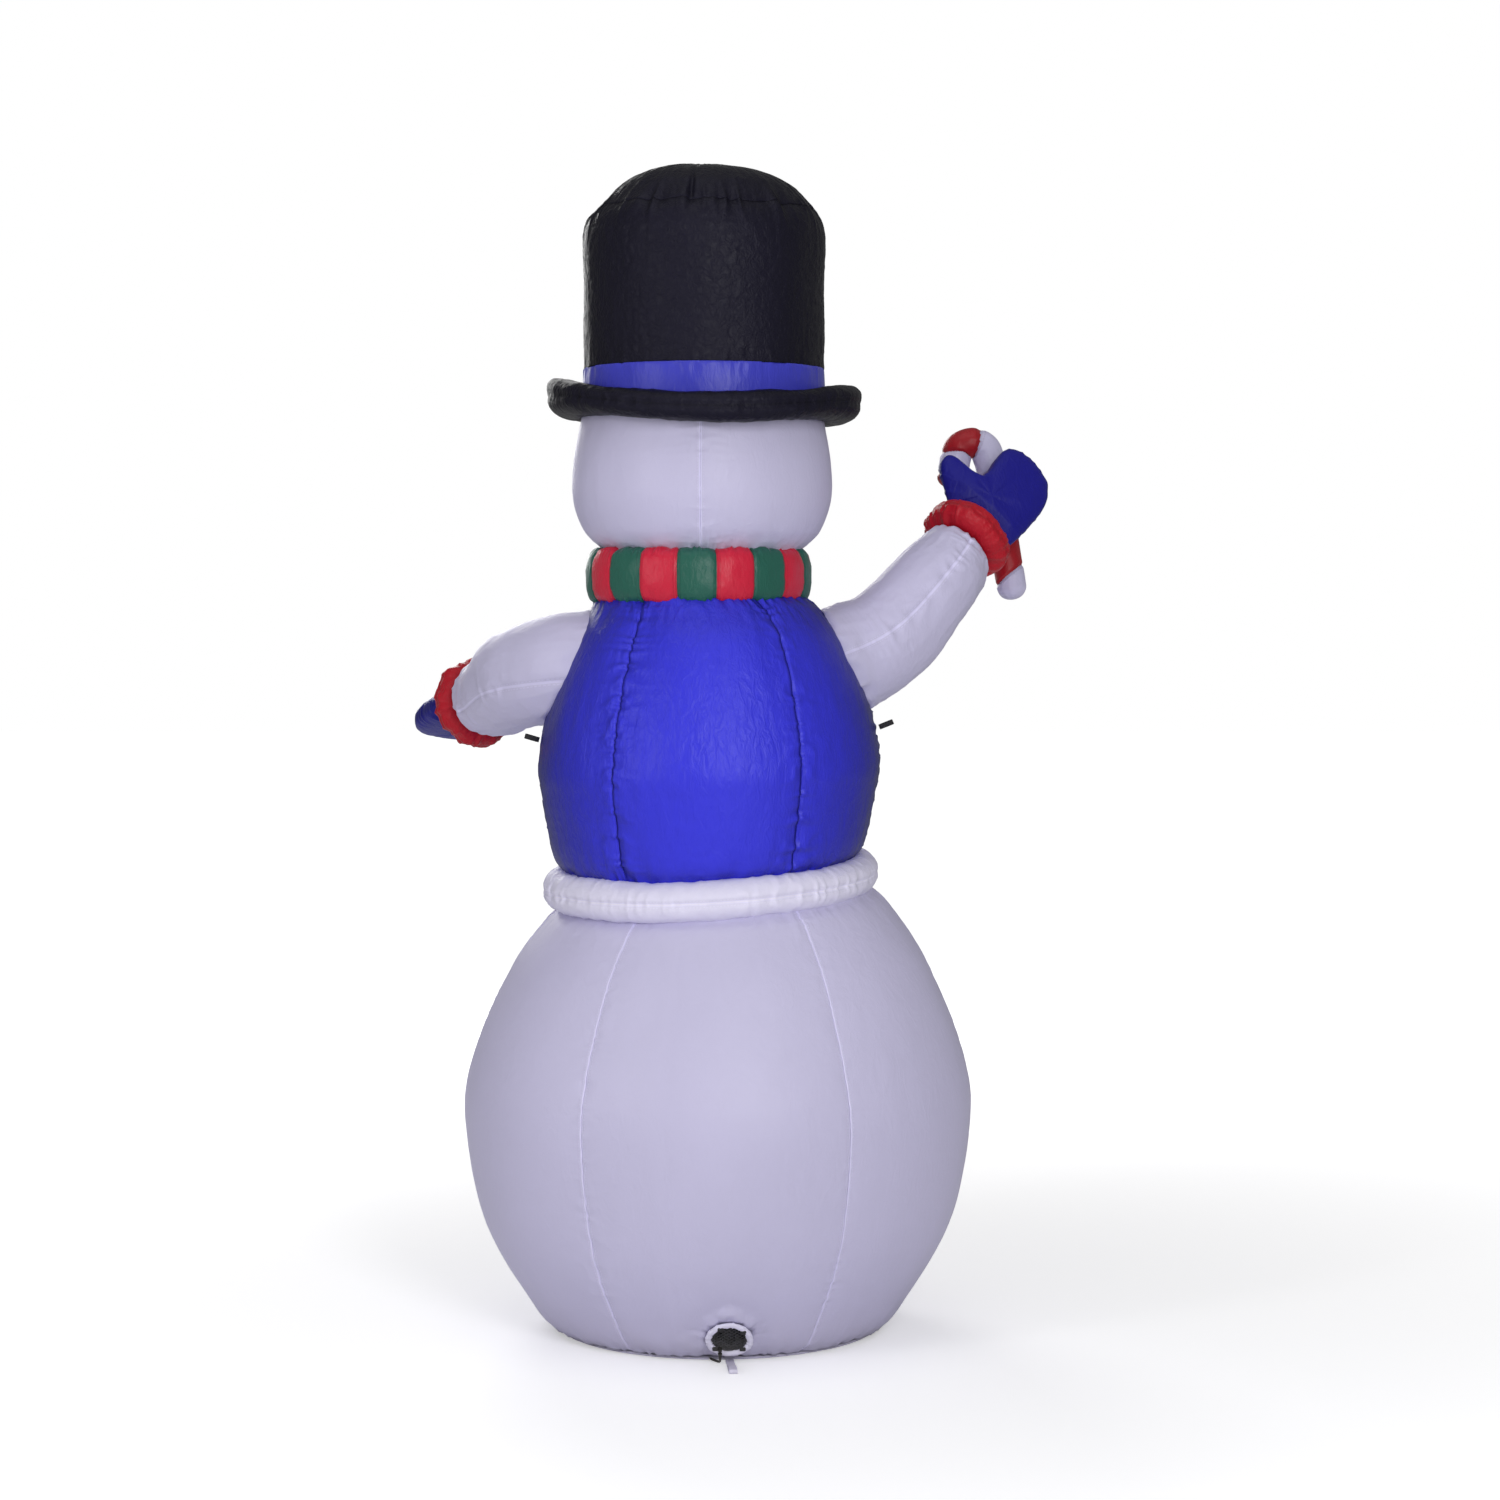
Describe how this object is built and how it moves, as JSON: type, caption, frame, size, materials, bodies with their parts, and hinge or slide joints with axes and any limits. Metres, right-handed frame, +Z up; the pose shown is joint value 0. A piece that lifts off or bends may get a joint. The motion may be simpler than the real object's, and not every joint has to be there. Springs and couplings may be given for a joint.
{
  "type": "inflatable yard snowman",
  "caption": "Tall inflatable yard snowman with top hat, striped scarf, vest, two arms, raised candy cane and built-in blower.",
  "frame": {"origin": "centre of the flat base panel's underside, on the ground", "axes": "+Z up, the snowman's front and face towards -Y, its own left hand towards +X"},
  "size_m": [1.3669, 1.0784, 2.4],
  "materials": {
    "white_fabric": "satin",
    "blue_fabric": "satin",
    "black_felt": "matte",
    "black_fabric": "satin",
    "scarf_fabric": "satin",
    "red_fabric": "satin",
    "dark_blue_fabric": "satin",
    "cane_fabric": "satin",
    "orange_fabric": "satin",
    "black_webbing": "matte",
    "black_plastic": "matte",
    "grey_plastic": "satin",
    "steel": "satin",
    "cord_rubber": "satin",
    "lamp_lens": "gloss"
  },
  "bodies": {
    "snowman": {"base_panel": "white_fabric", "ball_gore_left_back": "white_fabric", "ball_gore_back": "white_fabric", "ball_gore_right_back": "white_fabric", "ball_gore_right_front": "white_fabric", "ball_gore_front": "white_fabric", "ball_gore_left_front": "white_fabric", "waist_ring": "white_fabric", "waist_baffle": "white_fabric", "torso_gore_left_back": "blue_fabric", "torso_gore_back": "blue_fabric", "torso_gore_right_back": "blue_fabric", "torso_gore_right_front": "blue_fabric", "torso_gore_front": "blue_fabric", "torso_gore_left_front": "blue_fabric", "scarf_ring": "scarf_fabric", "neck_baffle": "white_fabric", "scarf_knot": "scarf_fabric", "scarf_tail_long": "scarf_fabric", "scarf_tail_short": "scarf_fabric", "head_face_panel": "white_fabric", "head_back_left_panel": "white_fabric", "head_back_right_panel": "white_fabric", "left_eye": "black_felt", "right_eye": "black_felt", "carrot_nose": "orange_fabric", "mouth": "black_felt", "coat_button_1": "black_felt", "coat_button_2": "black_felt", "coat_button_3": "black_felt", "hat_brim": "black_fabric", "hat_band": "blue_fabric", "hat_crown_wall": "black_fabric", "hat_crown_top": "black_fabric", "left_arm": "white_fabric", "left_cuff": "red_fabric", "left_mitten": "dark_blue_fabric", "right_arm": "white_fabric", "right_cuff": "red_fabric", "right_mitten": "dark_blue_fabric", "candy_cane": "cane_fabric", "back_stake_loop": "white_fabric", "front_left_stake_loop": "white_fabric", "front_right_stake_loop": "white_fabric", "intake_collar": "white_fabric", "fan_guard": "black_plastic", "fan_housing_front": "grey_plastic", "fan_housing_rear": "grey_plastic", "fan_motor": "steel", "lamp_lead": "cord_rubber", "lower_lamp": "lamp_lens", "upper_lamp": "lamp_lens", "power_cord": "cord_rubber", "cord_coil": "cord_rubber", "power_plug": "cord_rubber", "cord_gland": "cord_rubber"},
    "impeller": {"fan_impeller": "black_plastic", "motor_shaft": "steel"},
    "left_loop": {"left_tether_loop": "black_webbing"},
    "right_loop": {"right_tether_loop": "black_webbing"}
  },
  "joints": [
    {"name": "impeller_spin", "type": "hinge", "parent": "snowman", "child": "impeller", "pos_m": [-0.025, 0.39, 0.058], "axis": [0, 0.8191, -0.5736], "continuous": true},
    {"name": "left_loop_flex", "type": "hinge", "parent": "snowman", "child": "left_loop", "pos_m": [0.368, 0, 1.2165], "axis": [-0.2756, 0, 0.9613], "range_deg": [-35, 35], "stiffness_Nm_per_rad": 0.03},
    {"name": "right_loop_flex", "type": "hinge", "parent": "snowman", "child": "right_loop", "pos_m": [-0.331, 0, 1.243], "axis": [0.3746, 0, 0.9272], "range_deg": [-35, 35], "stiffness_Nm_per_rad": 0.03}
  ]
}
